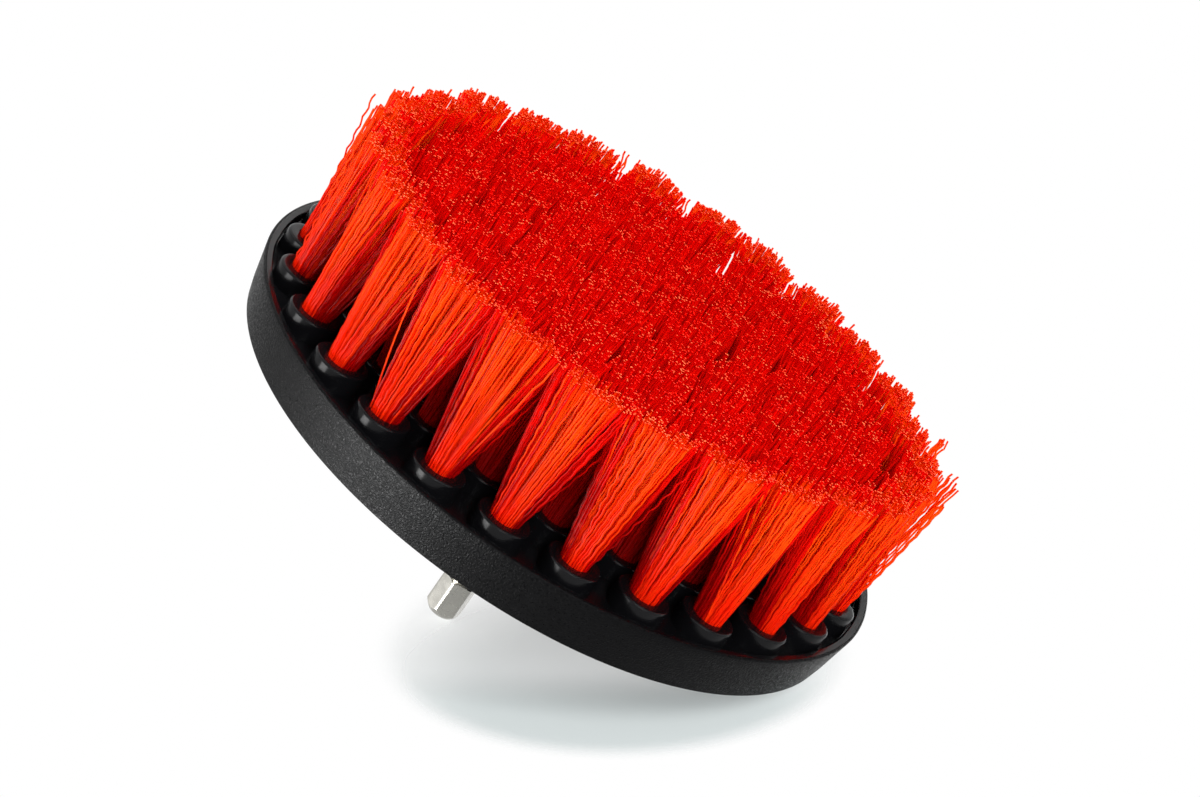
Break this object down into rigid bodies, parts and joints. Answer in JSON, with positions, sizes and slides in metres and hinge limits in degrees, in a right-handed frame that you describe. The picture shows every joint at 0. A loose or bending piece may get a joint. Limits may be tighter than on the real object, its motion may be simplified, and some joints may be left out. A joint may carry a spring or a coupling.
{
  "type": "drill brush",
  "caption": "Round drill brush: a shallow plastic plate with rings of stiff bristle tufts trimmed flat, and a hex shank with a snap groove for a drill chuck.",
  "frame": {"origin": "on the brush's axis, in the plane of the cut bristle tips, which it stands on", "axes": "+Z along the axis from the bristles to the end of the shank; two of the shank's flats face +Y and -Y"},
  "size_m": [0.1268, 0.1268, 0.0762],
  "materials": {
    "plate": "moulded black, fine grain on the outer wall and smooth inside",
    "bristles": "crimped red synthetic filament, trimmed flat",
    "shank": "drawn steel, lightly polished flats",
    "anchor_wire": "galvanised flat wire"
  },
  "bodies": {
    "root": {"base_plate": "plate", "hex_shank": "shank", "outer_tuft_01": "bristles", "outer_tuft_02": "bristles", "outer_tuft_03": "bristles", "outer_tuft_04": "bristles", "outer_tuft_05": "bristles", "outer_tuft_06": "bristles", "outer_tuft_07": "bristles", "outer_tuft_08": "bristles", "outer_tuft_09": "bristles", "outer_tuft_10": "bristles", "outer_tuft_11": "bristles", "outer_tuft_12": "bristles", "outer_tuft_13": "bristles", "outer_tuft_14": "bristles", "outer_tuft_15": "bristles", "outer_tuft_16": "bristles", "outer_tuft_17": "bristles", "outer_tuft_18": "bristles", "outer_tuft_19": "bristles", "outer_tuft_20": "bristles", "outer_tuft_21": "bristles", "outer_tuft_22": "bristles", "outer_tuft_23": "bristles", "outer_tuft_24": "bristles", "outer_tuft_25": "bristles", "outer_tuft_26": "bristles", "bristle_ring_2": "bristles", "bristle_ring_3": "bristles", "bristle_ring_4": "bristles", "bristle_ring_5": "bristles", "centre_tuft": "bristles", "staple_anchor_01": "anchor_wire", "staple_anchor_02": "anchor_wire", "staple_anchor_03": "anchor_wire", "staple_anchor_04": "anchor_wire", "staple_anchor_05": "anchor_wire", "staple_anchor_06": "anchor_wire", "staple_anchor_07": "anchor_wire", "staple_anchor_08": "anchor_wire", "staple_anchor_09": "anchor_wire", "staple_anchor_10": "anchor_wire", "staple_anchor_11": "anchor_wire", "staple_anchor_12": "anchor_wire", "staple_anchor_13": "anchor_wire", "staple_anchor_14": "anchor_wire", "staple_anchor_15": "anchor_wire", "staple_anchor_16": "anchor_wire", "staple_anchor_17": "anchor_wire", "staple_anchor_18": "anchor_wire", "staple_anchor_19": "anchor_wire", "staple_anchor_20": "anchor_wire", "staple_anchor_21": "anchor_wire", "staple_anchor_22": "anchor_wire", "staple_anchor_23": "anchor_wire", "staple_anchor_24": "anchor_wire", "staple_anchor_25": "anchor_wire", "staple_anchor_26": "anchor_wire"}
  },
  "joints": []
}
